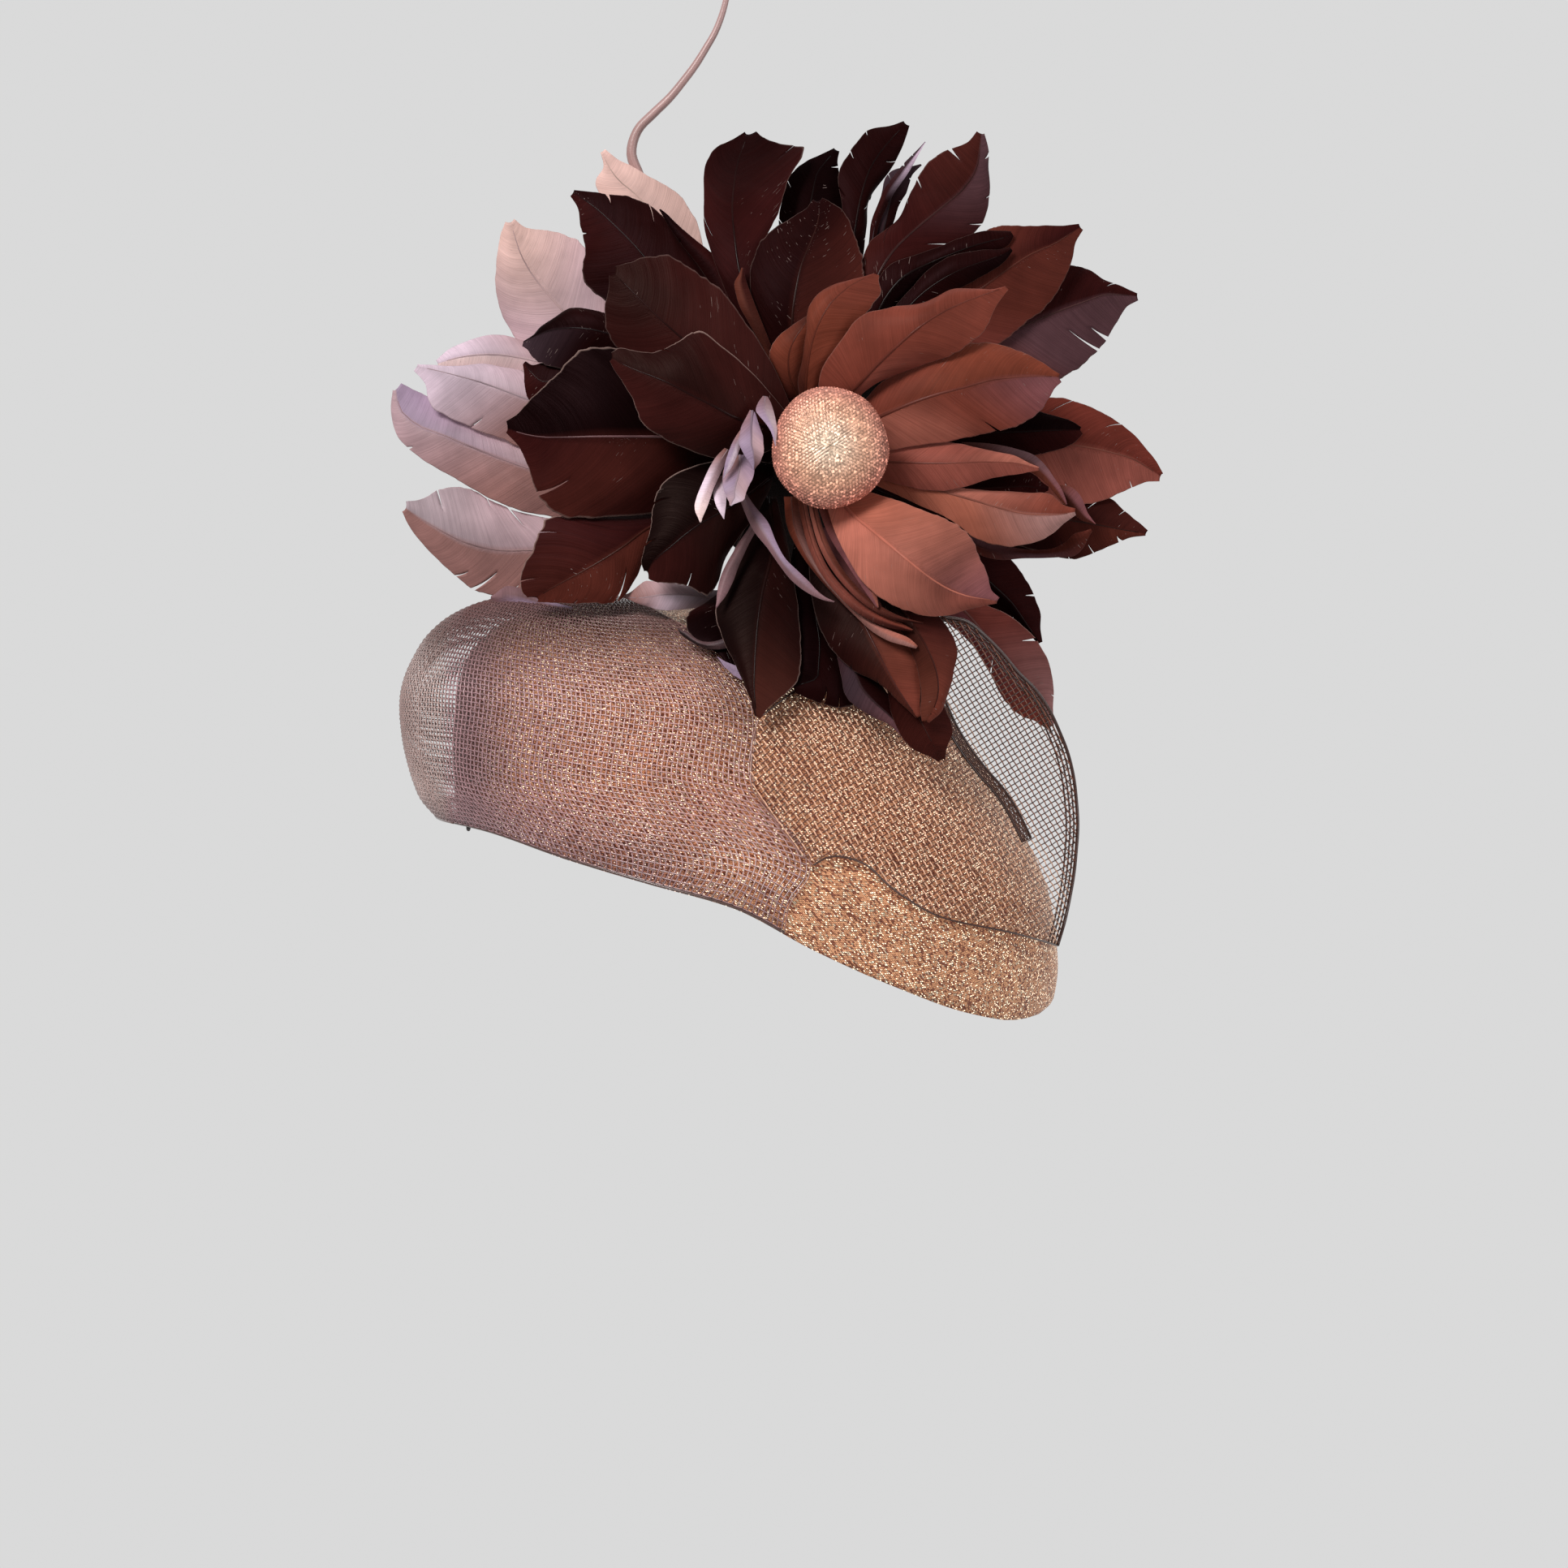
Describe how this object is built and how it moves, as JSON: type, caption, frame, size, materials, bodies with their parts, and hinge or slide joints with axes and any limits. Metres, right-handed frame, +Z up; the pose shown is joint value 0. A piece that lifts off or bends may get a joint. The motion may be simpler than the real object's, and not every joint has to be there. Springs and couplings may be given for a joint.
{
  "type": "fascinator headpiece",
  "caption": "Sculpted headpiece: wired cap in metallic knit with crin net, a feather rosette round a beaded button, one tall curved quill and a hair comb inside.",
  "frame": {"origin": "where the top of the wearer's head reaches inside the cap", "axes": "worn pose: +Z up the wearer's head, -Y to the viewer in front, +X to the viewer's right"},
  "size_m": [0.2458, 0.1769, 0.4052],
  "materials": {
    "feather_rust": "smooth, faint sheen",
    "feather_dark": "smooth, faint sheen",
    "feather_mauve": "smooth, faint sheen",
    "lurex_knit": "metallic glitter knit",
    "buckram": "stiffened weave",
    "wire": "drawn",
    "ribbon": "ribbed",
    "lining_cloth": "plain weave",
    "crin": "open net",
    "felt": "felt",
    "bead_knit": "metallic beaded knit",
    "mould": "moulded",
    "quill_shaft": "satin",
    "comb_plastic": "polished",
    "thread": "twisted"
  },
  "bodies": {
    "hat": {"lurex_cover": "lurex_knit", "buckram_shell": "buckram", "rim_wire": "wire", "head_ribbon": "ribbon", "lining": "lining_cloth", "crin_left_lobe": "crin", "crin_right_sail": "crin", "crin_fold": "crin", "front_vane_upper_left": "feather_rust", "front_vane_top_left": "feather_rust", "front_vane_top_short": "feather_rust", "front_vane_top_right": "feather_rust", "front_vane_right": "feather_rust", "front_vane_right_mid": "feather_rust", "front_vane_right_low": "feather_rust", "front_vane_lower_right": "feather_rust", "front_vane_low_pair": "feather_rust", "front_vane_low": "feather_rust", "front_vane_lower_left": "feather_rust", "front_strips": "feather_rust", "dark_vane_top": "feather_dark", "dark_vane_left": "feather_dark", "dark_vane_left_upper": "feather_dark", "dark_vane_top_left": "feather_dark", "dark_vane_crown": "feather_dark", "dark_vane_crown_split": "feather_dark", "dark_vane_top_right": "feather_dark", "dark_vane_right_slips": "feather_dark", "dark_vane_right_upper": "feather_dark", "dark_vane_right_wide": "feather_dark", "dark_vane_right_tip": "feather_dark", "dark_vane_right_split": "feather_dark", "dark_vane_right_inner": "feather_dark", "dark_vane_left_low": "feather_dark", "dark_vane_bottom": "feather_dark", "dark_vane_bottom_pair": "feather_dark", "dark_vane_side_upper": "feather_dark", "dark_vane_side_lower": "feather_dark", "dark_backing_vanes": "feather_dark", "mauve_vane_top": "feather_mauve", "mauve_vane_left": "feather_mauve", "mauve_vane_left_mid": "feather_mauve", "mauve_vane_left_low": "feather_mauve", "mauve_vane_top_narrow": "feather_mauve", "mauve_vane_bottom": "feather_mauve", "mauve_slips": "feather_mauve", "mauve_curls": "feather_mauve", "rosette_core": "felt", "rosette_back_disc": "felt", "rosette_front_disc": "felt", "button_cover": "bead_knit", "button_mould": "mould", "button_shank": "wire", "rosette_stem": "felt", "quill_holder": "felt", "quill_pin": "wire", "thread_loops": "thread"},
    "quill_body": {"quill": "quill_shaft"},
    "comb_body": {"comb": "comb_plastic"}
  },
  "joints": [
    {"name": "quill_sway", "type": "hinge", "parent": "hat", "child": "quill_body", "pos_m": [0.0049, 0.01025, 0.046], "axis": [0, 1, 0], "range_deg": [-6, 6], "stiffness_Nm_per_rad": 0.05},
    {"name": "comb_tilt", "type": "hinge", "parent": "hat", "child": "comb_body", "pos_m": [-0.001, -0.0763, -0.03], "axis": [1, 0, 0], "range_deg": [-25, 10]}
  ]
}
